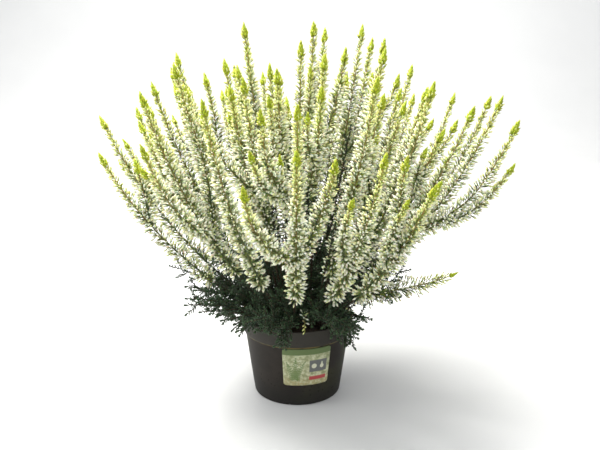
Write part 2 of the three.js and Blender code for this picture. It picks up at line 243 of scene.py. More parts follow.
# %% Where every stalk runs
CROWN_COUNT = 5
SECTOR = TURN / CROWN_COUNT
CROWN_CIRCLE = 20
CROWN_TOP = 84
STEM_SPREAD = 3
STALK_COUNT = 88
OUTER_WAY = np.array([[77.0, 108.0], [184.0, 180.0], [226.0, 308.0]])
MIDDLE_WAY = np.array([128.0, 294.0, 396.0])
BUNCHING, SCATTER, REACH_SCATTER = 0.07, 0.08, 0.05
FLOWER_START, FLOWER_START_RISE, FLOWER_START_SCATTER = 126, 66, 10
MAIN_SHORTER, SIDE_SHORTER = 0.16, 0.2
FORK_DELAY = (0.1, 0.28)
FORK_SWING = 0.26
CURVE_STEPS = 160


def controls_for(angles, ways):
    """Four control points a stalk: its place in its crown, then three radii and heights outwards."""
    crowns = np.floor(angles / SECTOR)
    starts = polar(CROWN_CIRCLE, (crowns + 0.5) * SECTOR, 0) + polar(STEM_SPREAD, angles, CROWN_TOP - 2)
    rest = polar(ways[..., 0], angles[:, None], ways[..., 1])
    return np.concatenate([starts[:, None], rest], axis=1)


def where(controls, z):
    """How far along each curve it reaches a height, by halving the stretch thirty times."""
    low, high = np.zeros(len(controls)), np.ones(len(controls))
    for _ in range(30):
        middle = (low + high) / 2
        below = bezier(controls, middle)[:, 2] < z
        low, high = np.where(below, middle, low), np.where(below, high, middle)
    return low


index = np.arange(STALK_COUNT)
spread = np.sqrt((index + 0.5) / STALK_COUNT)
turned = index * GOLDEN_ANGLE
angle = turned + BUNCHING * np.sin(3 * turned + 7 * spread) + SCATTER * (draw(index, 1) - 0.5)
angle = angle % TURN
ways = np.empty((STALK_COUNT, 3, 2))
ways[..., 0] = OUTER_WAY[:, 0] * spread[:, None]
ways[..., 1] = lerp(MIDDLE_WAY, OUTER_WAY[:, 1], spread[:, None] ** 2)
ways[:, 2, 0] *= 1 + REACH_SCATTER * (draw(index, 2) - 0.5)
controls = controls_for(angle, ways)
crown = np.floor(angle / SECTOR).astype(int)

mains, sides = index[::2], index[1::2]
starts_at = FLOWER_START + FLOWER_START_RISE * (1 - spread) + FLOWER_START_SCATTER * draw(index, 3)
begin = where(controls, starts_at)
finish_at = 1 - MAIN_SHORTER * draw(index, 4) ** 1.5
tips = controls[:, 3]
gap = np.linalg.norm(tips[sides][:, None] - tips[mains][None], axis=-1)
gap = np.where(crown[sides][:, None] == crown[mains][None], gap, np.inf)
parent = index.copy()
parent[sides] = mains[np.argmin(gap, axis=1)]
begin[sides] = begin[parent[sides]] + lerp(*FORK_DELAY, draw(sides, 3))
finish_at[sides] = 0.98 - SIDE_SHORTER * draw(sides, 4)
print("main spikes:", len(mains), "side spikes:", len(sides))


# %% Turn each stalk into a path for its stem and one for its spike
def stalk_points(i, u):
    """A main stalk's own curve, or a side spike's, which swings over from its parent's."""
    own = bezier(controls[i], u)
    if parent[i] == i:
        return own
    still = 1 - np.clip((u - begin[i]) / FORK_SWING, 0, 1)
    return lerp(bezier(controls[parent[i]], u), own, (1 - still**2)[:, None])


def sideways_of(turn):
    """The level direction across a stalk that leans out along a turn."""
    return np.array([-math.sin(turn), math.cos(turn), 0.0])


def stretch(i, low, high):
    """The path of one stalk between two shares of its curve."""
    return Path(stalk_points(i, np.linspace(low, high, CURVE_STEPS)), sideways_of(angle[i]))


# Three stalks leave the dome: their direction, the way they take as radius and height, the share of
# it where their flowers start, and their width as a share of a dome spike's.
LOOSE = {
    "low_flower_spike": (-0.18, [[66, 122], [116, 112], [168, 142]], 0.32, 1.0),
    "hanging_flower_sprig_1": (-1.46, [[46, 108], [64, 120], [68, 91]], 0.56, 0.42),
    "hanging_flower_sprig_2": (-0.6, [[46, 106], [65, 116], [69, 90]], 0.56, 0.42),
}
spikes = {i: stretch(i, begin[i], finish_at[i]) for i in index}
stems = [(crown[i], stretch(i, 0, begin[i])) for i in mains]
loose_spikes = {}
for name, (turn, way, start, width) in LOOSE.items():
    one = controls_for(np.array([turn % TURN]), np.array([way], float))[0]
    side = sideways_of(turn)
    loose_spikes[name] = (curve_path(one, side, CURVE_STEPS, start, 1), width)
    stems.append((int(turn % TURN / SECTOR), curve_path(one, side, CURVE_STEPS, 0, start)))
total = sum(path.length for path in spikes.values())
print("flowering length in metres:", round(total * MM, 2))

# %% [markdown]
# A flower spike on this heather is a thin stem packed with closed white buds. Each bud sits on a
# short green stalk, points outwards and a little up, and is about six millimetres long. Towards the
# tip they get smaller and lean up more. Hair particles could carry them, but an export drops
# particles, so every bud here is a real mesh.

# %% How a spike changes along its length
LOW_REACH, TIP_REACH = 12.5, 7.0
SWELL_LENGTH, TAPER_LENGTH, YOUNG_LENGTH = 14, 120, 85
TUFT_LENGTH = 17


def reach_along(path, s, width):
    """How far the buds stand out: a little less at the very foot, and tapering towards the tuft."""
    rest = path.length - s - TUFT_LENGTH
    taper = min(TAPER_LENGTH, 0.45 * path.length)
    swell = lerp(0.8, 1, smoothstep(s, 0, SWELL_LENGTH))
    return lerp(TIP_REACH, LOW_REACH, smoothstep(rest, 0, taper)) * width * swell


def youth_along(path, s, width):
    """0 on the older part of a spike, rising to 1 at its tuft. Short spikes are young for less."""
    young = min(YOUNG_LENGTH, 0.45 * path.length)
    return smoothstep(s, path.length - young, path.length - 0.8 * TUFT_LENGTH * width)


def shaded(template, low, high, foot_tints, tip_tints):
    """A colour for each point of each copy, from the foot's to the tip's over low to high."""
    weight = smoothstep(template[0][:, 2], low, high)[None, :, None]
    return lerp(foot_tints[:, None], tip_tints[:, None], weight).reshape(-1, 3)


def round_path(path, s, turn, lean):
    """Directions that point away from the path at each turn about it, leaning forward along it."""
    across, over, along = path.frame_at(s)
    outward = across * np.cos(turn)[:, None] + over * np.sin(turn)[:, None]
    return outward * np.cos(lean)[:, None] + along * np.sin(lean)[:, None], along


print("a bud sheath's radius low down and at the tuft:", LOW_REACH, TIP_REACH)

# %% Buds all along a spike
BUDS_PER_MM = 2.35
BUD_LENGTH, BUD_RADIUS = 6.0, 1.22
BUD_LEAN, YOUNG_LEAN, FOOT_DROOP, FOOT_LENGTH = 22, 50, 34, 28
PEDICEL_GREEN = np.array([0.17, 0.25, 0.06])
BUD_WHITE = np.array([0.96, 0.96, 0.82])
# A cream yellow green for young buds: partly their own colour, partly painted glow of light shining
# through them.
BUD_CREAM_AND_PAINTED_GLOW = np.array([0.88, 0.90, 0.34])


def buds_on(path, width, seed, per_mm=BUDS_PER_MM, hidden=0.0, bare=0.7 * TUFT_LENGTH):
    """Buds in golden-angle order, each on a stalk that makes up the rest of its reach. They get
    smaller and steeper towards the tip, where bare times the width is left for the tuft, they droop
    at the foot, and they are fewer low down on a spike that is hidden there."""
    rng = np.random.default_rng(seed)
    count = int((path.length - bare * width) * per_mm)
    number = np.arange(count)
    s = 0.5 + (number + rng.random(count)) / per_mm
    youth = youth_along(path, s, width)
    deep = hidden * (1 - smoothstep(s / path.length, 0.25, 0.5))
    kept = rng.random(count) > 0.3 * youth + 0.55 * deep
    number, s, youth = number[kept], s[kept], youth[kept]
    count = len(number)
    turn = number * GOLDEN_ANGLE + rng.normal(0, 0.35, count)
    foot = 1 - smoothstep(s, 0, FOOT_LENGTH)
    lean = np.radians(lerp(BUD_LEAN, YOUNG_LEAN, youth) - FOOT_DROOP * foot)
    lean = lean + rng.normal(0, 0.17, count)
    directions, along = round_path(path, s, turn, lean)
    size = BUD_LENGTH * lerp(1, 0.7, youth) * rng.uniform(0.85, 1.12, count)
    reach = reach_along(path, s, width) * lerp(0.6, 1.04, rng.random(count) ** 0.6)
    lengths = np.maximum(reach, size + 0.5)
    widths = BUD_RADIUS * lerp(1, 0.72, youth) * rng.uniform(0.85, 1.15, count)
    shape = grow(BUD, path.at(s), directions, lengths, widths, 0.08, along, 1 - size / lengths)
    # Towards the tip the petals turn cream: partly the young buds' own colour, partly painted glow of
    # light shining through them.
    cream = np.clip(rng.random((count, 1)) ** 2 * 0.8 + 0.9 * youth[:, None], 0, 1)
    petals = lerp(BUD_WHITE, BUD_CREAM_AND_PAINTED_GLOW, cream) * rng.uniform(0.84, 1.04, (count, 1))
    stalks = PEDICEL_GREEN * rng.uniform(0.7, 1.4, (count, 1))
    return *shape, shaded(BUD, 0.0, 0.45, stalks, petals)


# %% [markdown]
# Small green leaves stand between the buds. At this distance they can't be told apart, but without
# them the sheath would look like white bristles. So they are plain needles, three sides each.

# %% Bracts between the buds
BRACTS_PER_MM = 0.8
BRACT_DARK = np.array([0.035, 0.075, 0.03])
BRACT_LIGHT = np.array([0.36, 0.46, 0.06])


def bracts_on(path, width, seed):
    """Small green leaves between the buds. They fill the sheath and darken it towards the stem."""
    rng = np.random.default_rng(seed + 3000)
    count = int((path.length - 0.8 * TUFT_LENGTH * width) * BRACTS_PER_MM)
    s = (np.arange(count) + rng.random(count)) / BRACTS_PER_MM
    lean = np.radians(rng.uniform(15, 60, count))
    directions, along = round_path(path, s, rng.uniform(0, TURN, count), lean)
    lengths = reach_along(path, s, width) * rng.uniform(0.45, 0.9, count)
    shape = grow(NEEDLE, path.at(s), directions, lengths, rng.uniform(0.55, 0.85, count), 0.1, along)
    pale = np.clip(rng.random((count, 1)) ** 2 + youth_along(path, s, width)[:, None], 0, 1)
    tips = lerp(BRACT_DARK, BRACT_LIGHT, pale)
    return *shape, shaded(NEEDLE, 0.0, 1.0, tips * 0.8, tips)


# %% [markdown]
# The tip of each spike is a tuft of young scale leaves, packed like a flame. They are the brightest
# thing on the plant: a yellow green that almost glows where light comes through.

# %% The tuft at a tip, and the stem through a spike
TUFT_LEAVES = 52
TUFT_DEEP = np.array([0.17, 0.23, 0.010])
TUFT_BRIGHT = np.array([0.50, 0.58, 0.025])
STEM_STOPS = [0.3, 0.8, 1.0]
STEM_COLOURS = np.array([[0.09, 0.12, 0.045], [0.36, 0.28, 0.09], [0.48, 0.46, 0.08]])


def tuft_on(path, width, seed):
    """Scale leaves in golden-angle order: the low ones splay out, and the last ones point ahead."""
    rng = np.random.default_rng(seed + 5000)
    count = int(TUFT_LEAVES * math.sqrt(width))
    share = np.linspace(0, 1, count)
    s = path.length - TUFT_LENGTH * width * lerp(0.92, 0.26, share)
    lean = np.radians(lerp(38, 80, share**1.2)) + rng.normal(0, 0.1, count)
    directions, along = round_path(path, s, np.arange(count) * GOLDEN_ANGLE, lean)
    lengths = width * lerp(6.4, 4.6, share) * rng.uniform(0.85, 1.1, count)
    widths = width * lerp(1.3, 1.05, share) * rng.uniform(0.9, 1.1, count)
    shape = grow(SCALE_LEAF, path.at(s), directions, lengths, widths, 0.1, along)
    glow = rng.uniform(0.75, 1.2, (count, 1))
    return *shape, shaded(SCALE_LEAF, 0.1, 0.9, TUFT_DEEP * glow, TUFT_BRIGHT * glow)


def stem_through(path, width):
    """The stem inside a spike: green below, tan further up, and yellow green under the tuft."""
    rings = max(8, int(path.length / 6))
    share = np.linspace(0, 1, rings)
    points, faces = tube(path, lerp(1.15, 0.5, share) * math.sqrt(width))
    tint = np.stack([np.interp(share, STEM_STOPS, part) for part in STEM_COLOURS.T], -1)
    return points, faces, np.concatenate([np.repeat(tint, 6, axis=0), tint[[0, -1]]])


# %% [markdown]
# A spike is put together from its stem, bracts, buds and tuft. The three loose ones differ a little,
# and about half of the long spikes carry a spikelet: a short side spike that runs beside them.

# %% Put a spike together
def whole_spike(path, width, seed, hidden=0.0):
    """A spike of the dome, with its buds thinned where hidden is above 0."""
    buds = buds_on(path, width, seed, hidden=hidden)
    return [stem_through(path, width), bracts_on(path, width, seed), buds, tuft_on(path, width, seed)]


def hanging_sprig(path, width, seed):
    """A thin sprig with a few full-sized buds, well apart. It ends in buds, not in a tuft."""
    return [stem_through(path, 0.3 * width), buds_on(path, 1.7 * width, seed, per_mm=0.7, bare=1.0)]


def low_spike(path, width, seed):
    """The spike that lies low on the right: full to its end, with only a small tuft."""
    buds = buds_on(path, 1.3 * width, seed)
    return [stem_through(path, width), bracts_on(path, 1.3 * width, seed), buds,
            tuft_on(path, 0.7 * width, seed)]


def spikelet(path, seed):
    """A short side spike: it leaves its spike at a slant, runs beside it and stays below its tip."""
    rng = np.random.default_rng(seed + 2500)
    start = path.length * rng.uniform(0.2, 0.5)
    reach = min(rng.uniform(60, 105), path.length - start - 22)
    turn = rng.uniform(0, TURN)
    across, over, along = (v[0] for v in path.frame_at(np.array([start])))
    aside = (across * math.cos(turn) + over * math.sin(turn)) * rng.uniform(15, 21)
    low, middle, high = path.at(start + reach * np.array([0, 0.45, 1]))
    curve = np.stack([low, lerp(low, middle, 0.5) + aside * 0.7, middle + aside, high + aside])
    return curve_path(curve, unit(across + 0.01), 60)


# %% [markdown]
# Below the flowers every stem is clothed in dark needles, and short leafy shoots branch off. In the
# middle they hide the peat, and at the edge they reach over the rim or hang beside it. A few more
# twigs than the solids have make the mass dense.

# %% Needles along a path
LEAF_REACH = 3.9
NEEDLES_PER_MM = 1.15
NEEDLE_RADIUS = 0.72
NEEDLE_DARK = np.array([0.010, 0.026, 0.012])
NEEDLE_LIGHT = np.array([0.045, 0.095, 0.032])
BARK = np.array([0.055, 0.035, 0.02])


def needles_on(path, seed, bare=0.0, youth=0.0):
    """Needles in golden-angle order, after the path's bare share. youth makes them paler."""
    rng = np.random.default_rng(seed)
    first = bare * path.length
    count = int((path.length - first) * NEEDLES_PER_MM) + 6
    number = np.arange(count)
    s = np.minimum(first + (number + rng.random(count)) / NEEDLES_PER_MM, path.length)
    turn = number * GOLDEN_ANGLE + rng.normal(0, 0.3, count)
    closing = smoothstep(s, path.length - 5, path.length)
    lean = np.radians(lerp(42, 66, closing)) + rng.normal(0, 0.2, count)
    directions, along = round_path(path, s, turn, lean)
    lengths = LEAF_REACH * rng.uniform(0.75, 1.15, count) * lerp(1.15, 0.85, closing)
    widths = NEEDLE_RADIUS * rng.uniform(0.85, 1.15, count)
    shape = grow(NEEDLE, path.at(s), directions, lengths, widths, bend=0.12, uphill=along)
    pale = np.clip(rng.random((count, 1)) * 0.6 + youth + 0.3 * closing[:, None], 0, 1)
    tips = lerp(NEEDLE_DARK, NEEDLE_LIGHT, pale)
    return *shape, shaded(NEEDLE, 0.0, 1.0, tips * 0.7, tips)


def wood_of(path, thick, thin, sides=6, rings=14):
    """Bark round a path, which narrows evenly."""
    points, faces = tube(path, np.linspace(thick, thin, rings), sides)
    return points, faces, np.broadcast_to(BARK, points.shape)


# %% Where the leafy shoots and twigs run
# How far round a shoot ends from its stalk, how far out, and how high.
SHOOTS = {
    "inner": (0.3, (6, 26), (126, 140)),
    "middle": (0.24, (66, 76), (120, 129)),
    "outer": (0.17, (98, 118), (106, 118)),
    "hanging": (0.16, (70, 74), (66, 82)),
}
SHOOT_FOOT = 103
SECTOR_MARGIN = 0.07


def shoot_path(i, number):
    """The curve of the leafy shoot on main stalk i, the number-th of its crown."""
    kind = "inner" if spread[i] < 0.5 else "middle" if spread[i] < 0.8 else "outer"
    if kind == "outer" and number % 3 == 0:
        kind = "hanging"
    turn, radii, heights = SHOOTS[kind]
    radius, height = lerp(*radii, draw(i, 6)), lerp(*heights, draw(i, 7))
    start = bezier(controls[i], where(controls[i : i + 1], SHOOT_FOOT))[0]
    out = math.hypot(start[0], start[1])
    low = crown[i] * SECTOR
    side = 1 if number % 2 else -1
    end = float(np.clip(angle[i] + side * turn, low + SECTOR_MARGIN, low + SECTOR - SECTOR_MARGIN))
    hangs = kind == "hanging"
    shoulder = SHOOT_FOOT + 4 if hangs else lerp(start[2], height, 0.6)
    knee = polar(lerp(out, radius, 0.35), (angle[i] + end) / 2, start[2] + 5)
    bow = polar(radius + 1 if hangs else lerp(out, radius, 0.7), end, shoulder)
    curve = np.stack([start, knee, bow, polar(radius, end, height)])
    return curve_path(curve, sideways_of(end), 60)


def twigs_on(path, count, seed, first=0.35, droop=0.0):
    """Short side twigs: each leaves the path at a slant and curves up, or down with droop."""
    rng = np.random.default_rng(seed + 900)
    for s, turn, length in zip(
        path.length * np.linspace(first, 0.9, count),
        rng.uniform(0, TURN, count),
        rng.uniform(9, 18, count),
    ):
        across, over, along = (v[0] for v in path.frame_at(np.array([s])))
        outward = across * math.cos(turn) + over * math.sin(turn)
        start = path.at(np.array([s]))[0]
        middle = start + length * 0.5 * (0.75 * outward + 0.65 * along)
        end = start + length * (0.72 * outward + 0.6 * along) + [0, 0, length * (0.22 - droop)]
        curve = np.stack([start, middle, (middle + end) / 2, end])
        yield curve_path(curve, unit(over + 0.01), 30)


# %% [markdown]
# Each finished piece takes the place of one plain solid. It rides on the part's only body and hides the
# solid it stands for.

# %% Make the flower spikes, one piece for each solid
def dress(piece, node):
    """Hand a finished piece over to its body, and hide the solid it replaces."""
    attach(piece, "root")
    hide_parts(node)
    return piece


SPIKELET_SHARE, SPIKELET_WIDTH, SPIKELET_HOST = 0.5, 0.82, 120
flower_pieces = []
for number, main in enumerate(mains):
    members = [main, *sides[parent[sides] == main]]
    shapes = []
    for i in members:
        shapes += whole_spike(spikes[i], 1.0, int(i), 1 - smoothstep(spread[i], 0.35, 0.65))
        if draw(i, 11) < SPIKELET_SHARE and spikes[i].length > SPIKELET_HOST:
            shapes += whole_spike(spikelet(spikes[i], int(i)), SPIKELET_WIDTH, int(i) + 100)
    piece = make_mesh(f"flowering_spike_{number + 1:02d}", *merge_shapes(shapes))
    flower_pieces.append(dress(piece, f"flower_spike_{number + 1:02d}"))
for number, (node, (path, width)) in enumerate(loose_spikes.items()):
    make = low_spike if width > 0.5 else hanging_sprig
    shapes = make(path, width, 200 + number)
    piece = make_mesh(node + "_buds", *merge_shapes(shapes))
    flower_pieces.append(dress(piece, node))
count = sum(len(piece.data.polygons) for piece in flower_pieces)
print("flower pieces:", len(flower_pieces), "with", count, "triangles")

# %% [markdown]
# The solids hold the main leafy shoots. Four more kinds thicken the mass as the real plant does:
# fillers in its dark middle, companions beside the main stalks, a carpet over the peat, and a skirt
# of sprigs that reach over the rim.

# %% The crowns, and the shoots that fill the middle
STUMP_FOOT, STUMP_RADIUS = 60, 6.0
FILLERS_PER_CROWN, CARPET_PER_CROWN, SKIRTS_PER_CROWN = 9, 7, 12
COMPANION_REACH, COMPANION_GAP = 0.3, 10
LOOSE_CLEARANCE, LOW_SPIKE_CLEARANCE = 0.13, 0.43


def crown_point(number, depth):
    """The middle of a crown, at a depth below its top."""
    return polar(CROWN_CIRCLE, (number + 0.5) * SECTOR, CROWN_TOP - depth)


def stump(number):
    """The woody crown: a short thick post that narrows upwards and leans a little outwards."""
    turn = (number + 0.5) * SECTOR
    radii = lerp(CROWN_CIRCLE, CROWN_CIRCLE + 1.5, np.linspace(0, 1, 9))
    post = Path(polar(radii, turn, np.linspace(STUMP_FOOT, CROWN_TOP, 9)), sideways_of(turn))
    return wood_of(post, STUMP_RADIUS, 0.75 * STUMP_RADIUS, 14, 10)


def filler_paths(number):
    """Extra leafy shoots that rise in the dark middle of the plant, between the flowering stems."""
    rng = np.random.default_rng(number + 700)
    for _ in range(FILLERS_PER_CROWN):
        turn = (number + rng.uniform(0.06, 0.94)) * SECTOR
        radius = rng.uniform(4, 92)
        height = rng.uniform(132, 176) - 0.28 * radius
        start, end = crown_point(number, 3), polar(radius, turn, height)
        middle = lerp(start, end, 0.45) + polar(6, turn, -4)
        curve = np.stack([start, middle, lerp(middle, end, 0.5) + 3 * UP, end])
        yield curve_path(curve, sideways_of(turn))


def companion_paths(number):
    """Leafy shoots that run up beside the main stalks, past the lowest buds, and end between them."""
    for i in mains[crown[mains] == number]:
        reach = COMPANION_REACH * (1 - smoothstep(spread[i], 0.6, 0.95))
        curve = stalk_points(i, np.linspace(0.25 * begin[i], begin[i] + reach, 50))
        aside = sideways_of(angle[i]) * (COMPANION_GAP if draw(i, 12) > 0.5 else -COMPANION_GAP)
        curve = curve + aside * np.linspace(0, 1, 50)[:, None]
        yield Path(curve, sideways_of(angle[i]))


# %% The shoots that cover the peat and reach over the rim
def carpet_paths(number):
    """Low sprigs that spread over the peat from a crown, so that little of it shows from above."""
    rng = np.random.default_rng(number + 800)
    for k in range(CARPET_PER_CROWN):
        turn = (number + (k + rng.random()) / CARPET_PER_CROWN) * SECTOR
        radius = rng.uniform(28, 58) if k % 3 else rng.uniform(2, 12)
        start, end = crown_point(number, 5), polar(radius, turn, rng.uniform(90, 108))
        bow = polar(lerp(CROWN_CIRCLE, radius, 0.6), turn, rng.uniform(90, 100))
        curve = np.stack([start, lerp(start, bow, 0.5) + 3 * UP, bow, end])
        yield curve_path(curve, sideways_of(turn), 40)


def near_loose(turn):
    """Whether a direction is so close to a loose spike's that a sprig there would hide it."""
    return any(
        abs(turn - loose % TURN) < (LOW_SPIKE_CLEARANCE if width > 0.5 else LOOSE_CLEARANCE)
        for loose, _, _, width in LOOSE.values()
    )


def skirt_paths(number):
    """Sprigs that reach out over the rim and make the dark feathery edge below the flowers."""
    rng = np.random.default_rng(number + 850)
    for k in range(SKIRTS_PER_CROWN):
        turn = (number + (k + rng.random()) / SKIRTS_PER_CROWN) * SECTOR
        out = rng.uniform(0.05, 1) ** 0.7
        if near_loose(turn):
            continue
        radius = lerp(72, 140, out)
        height = lerp(96, 136, out) + rng.uniform(-14, 0)
        knee = polar(40, turn, 98)
        bow = polar(0.7 * radius, turn, lerp(106, height, 0.6))
        curve = np.stack([crown_point(number, 3), knee, bow, polar(radius, turn, height)])
        yield curve_path(curve, sideways_of(turn))


# %% [markdown]
# One table says how each kind grows, so that a single loop can clothe them all. Twigs carry most of
# the needles. They are thin and have few sides, because nobody sees their bark.

# %% Make the leafy stems, one piece for each rooted cutting
# For each kind: the wood's radius at both ends, the bare share, the number of twigs and where the
# first one leaves, how pale the needles are, and how far the twigs droop.
GROWTH = {
    "stem": (1.5, 1.1, 0.3, 4, 0.5, 0.0, 0.0),
    "shoot": (0.8, 0.4, 0.0, 7, 0.4, 0.1, 0.12),
    "filler": (0.9, 0.4, 0.2, 3, 0.4, 0.0, 0.0),
    "carpet": (0.7, 0.4, 0.1, 2, 0.4, 0.0, 0.1),
    "companion": (0.9, 0.4, 0.0, 3, 0.6, 0.1, 0.0),
    "skirt": (0.8, 0.4, 0.1, 9, 0.45, 0.05, 0.12),
}
EXTRAS = {
    "filler": (500, filler_paths),
    "carpet": (650, carpet_paths),
    "companion": (950, companion_paths),
    "skirt": (800, skirt_paths),
}


def leafy(kind, seed, path):
    """A woody path with needles on it, and its twigs with theirs, which are a little paler."""
    thick, thin, bare, twig_count, first, youth, droop = GROWTH[kind]
    shapes = [wood_of(path, thick, thin), needles_on(path, seed, bare, youth)]
    for k, branch in enumerate(twigs_on(path, twig_count, seed, first, droop)):
        shapes.append(wood_of(branch, 0.5, 0.3, 3, 5))
        shapes.append(needles_on(branch, seed * 31 + k, 0.0, youth + 0.15))
    return shapes


leafy_pieces = []
for number in range(CROWN_COUNT):
    grown = [("stem", 300 + k, path) for k, (own, path) in enumerate(stems) if own == number]
    hosts = mains[crown[mains] == number]
    grown += [("shoot", 400 + int(i), shoot_path(i, k)) for k, i in enumerate(hosts)]
    for kind, (seed, paths) in EXTRAS.items():
        grown += [(kind, seed + 20 * number + k, path) for k, path in enumerate(paths(number))]
    shapes = [stump(number)]
    for one in grown:
        shapes += leafy(*one)
    piece = make_mesh(f"needle_stems_{number + 1}", *merge_shapes(shapes))
    leafy_pieces.append(dress(piece, f"leafy_stems_{number + 1}"))
count = sum(len(piece.data.polygons) for piece in leafy_pieces)
print("leafy pieces:", len(leafy_pieces), "with", count, "triangles")

# %% [markdown]
# The pot is one lathed outline. Moulded plastic has no sharp edges, so each corner of the outline
# is rounded by cutting it off twice. The eight drain holes in the raised ring of the floor, and the
# small notches that let water out under the foot, are then cut with a Boolean modifier. It is
# applied here, so that the pot is left as a plain mesh.

# %% Lathe the pot and cut its drain holes
POT_SIDES = 96
FOOT_RADIUS, WALL_TOP_RADIUS, LIP_FOOT = 46.5, 56.0, 70.0
DRAIN_COUNT, DRAIN_RADIUS, DRAIN_CIRCLE = 8, 3.6, 30.25
NOTCH_COUNT, NOTCH_RADIUS, NOTCH_START = 6, 1.7, 37.0
DRILL_LENGTH = 12.0


def wall_radius(z):
    """The wall's outer radius at a height: it widens evenly from the foot to the lip."""
    return lerp(FOOT_RADIUS, WALL_TOP_RADIUS, z / LIP_FOOT)


def rounded(outline, cut=0.25, times=2):
    """Corner cutting: each inner point gives way to two, a share of the way to its neighbours."""
    for _ in range(times):
        before, after = outline[:-1], outline[1:]
        pairs = np.stack([lerp(before, after, cut), lerp(before, after, 1 - cut)], axis=1)
        outline = np.concatenate([outline[:1], pairs.reshape(-1, 2)[1:-1], outline[-1:]])
    return outline


def lathe(outline, sides):
    """A closed turned shape. The outline of (radius, z) runs from one point on the axis to another."""
    angles = np.arange(sides) * TURN / sides
    rings = polar(outline[1:-1, :1], angles[None], outline[1:-1, 1:])
    ends = [[0, 0, outline[0, 1]], [0, 0, outline[-1, 1]]]
    points = np.concatenate([rings.reshape(-1, 3), ends])
    _, faces = spindle(sides, [(0, 1)] * (len(outline) - 2))
    return points, faces


under = [[0, 0], [22, 0], [23, 0.3], [25, 2.5], [35.5, 2.5], [37.2, 0.3], [38, 0], [44.8, 0]]
wall = [[46.2, 0.5], [46.7, 1.6], [49.6, 23], [53.0, 48], [55.6, 67]]
lip = [[56.1, 69.7], [57.6, 70.3], [58.1, 72], [59.9, 86], [60, 87.3], [59.2, 88]]
inside = [[58.4, 88], [57.9, 87], [56.6, 72], [55.8, 70], [54.6, 69], [52.5, 54], [45.2, 3]]
floor_top = [[44.3, 1.8], [38.5, 1.8], [36.5, 4.3], [24, 4.3], [22, 1.8], [0, 1.8]]
outline = rounded(np.array(under + wall + lip + inside + floor_top, float))
pot = make_mesh("nursery_pot", *lathe(outline, POT_SIDES))



def drills(places, directions, radius, uphill):
    """A round rod at each place, to be cut away."""
    sizes = np.full(len(places), DRILL_LENGTH), np.full(len(places), radius)
    return grow(spindle(20, [(0, 1), (1, 1)]), places, directions, *sizes, uphill=uphill)


places = polar(DRAIN_CIRCLE, np.arange(DRAIN_COUNT) * TURN / DRAIN_COUNT, -2.0)
holes = drills(places, np.broadcast_to(UP, places.shape), DRAIN_RADIUS, np.array([1.0, 0.0, 0.0]))
turns = 0.35 + np.arange(NOTCH_COUNT) * TURN / NOTCH_COUNT
notches = drills(polar(NOTCH_START, turns, -0.2), polar(1.0, turns, 0.0), NOTCH_RADIUS, UP)
no_tint = np.zeros((0, 3))
drill = make_mesh("drill", *merge_shapes([(*holes, no_tint), (*notches, no_tint)])[:2])
cut = pot.modifiers.new("drain holes and notches", "BOOLEAN")
cut.operation = "DIFFERENCE"
cut.solver = "EXACT"
cut.object = drill
evaluated = pot.evaluated_get(bpy.context.evaluated_depsgraph_get())
drilled = bpy.data.meshes.new_from_object(evaluated)
pot.modifiers.clear()
pot.data = drilled
bpy.data.objects.remove(drill)
dress(pot, "pot")
print("pot triangles:", sum(len(face.vertices) - 2 for face in pot.data.polygons))

# %% [markdown]
# The sticker is a thin sheet bent round the wall, with its own UV map so that the print follows it.
# Both its faces are grids of points, and a strip along their edges closes them to one shape.

# %% Bend the sticker round the wall
STICKER_WIDTH, STICKER_HEIGHT, STICKER_TOP, STICKER_TURN = 50.0, 43.0, 68.0, 0.19
STICKER_COLUMNS, STICKER_ROWS = 48, 32
STICKER_CORNER = 2.5


def sticker_shape():
    """Both faces of the sheet as grids, front first, joined along their edges. u and v run 0 to 1.
    Near the top and bottom each row is shorter at both ends by r - sqrt(r^2 - (r - gap)^2), where r
    is the corner's radius and gap how far the row is from the edge."""
    u, v = np.meshgrid(np.linspace(0, 1, STICKER_COLUMNS), np.linspace(0, 1, STICKER_ROWS))
    z = STICKER_TOP - STICKER_HEIGHT * (1 - v)
    inset = np.maximum(STICKER_CORNER - np.minimum(v, 1 - v) * STICKER_HEIGHT, 0)
    short = STICKER_CORNER - np.sqrt(np.maximum(STICKER_CORNER**2 - inset**2, 0))
    across = (u - 0.5) * (STICKER_WIDTH - 2 * short)
    middle = -math.pi / 2 + STICKER_TURN
    turn = middle + across / wall_radius(STICKER_TOP - STICKER_HEIGHT / 2)
    lift = 0.62 + 0.05 * np.sin(9 * u + 4 * v) * np.sin(7 * v)
    front = polar(wall_radius(z) + lift, turn, z).reshape(-1, 3)
    back = polar(wall_radius(z) + 0.12, turn, z).reshape(-1, 3)
    uv = np.stack([across / STICKER_WIDTH + 0.5, v], -1).reshape(-1, 2)
    number = np.arange(u.size).reshape(u.shape)
    a, b, c, d = number[:-1, :-1], number[:-1, 1:], number[1:, 1:], number[1:, :-1]
    face = np.stack([a, b, c, a, c, d], -1).reshape(-1, 3)
    rim = np.concatenate([number[0], number[1:, -1], number[-1, -2::-1], number[-2:0:-1, 0]])
    after = np.roll(rim, -1)
    shift = u.size
    edge = np.concatenate([np.stack([rim, rim + shift, after + shift], -1),
                           np.stack([rim, after + shift, after], -1)])
    return (np.concatenate([front, back]), np.concatenate([face, face[:, ::-1] + shift, edge]),
            np.concatenate([uv, uv]))


points, faces, uv = sticker_shape()
sticker = make_mesh("plant_sticker", points, faces, uv=uv)
dress(sticker, "sticker")
print("sticker triangles:", len(faces))

# %% [markdown]
# Peat is a crumbly mix. A disc of rings carries the broad relief, and a few hundred crumbs of many
# sizes lie on it. Most of it stays hidden below the leaves, but the gaps between them need it.

# %% Fill the pot with peat
SOIL_TOP, SOIL_EDGE = 78.0, 55.6
CRUMBS = 450
CRUMB = spindle(5, [(0.16, 0.72), (0.5, 1.0), (0.84, 0.66)])


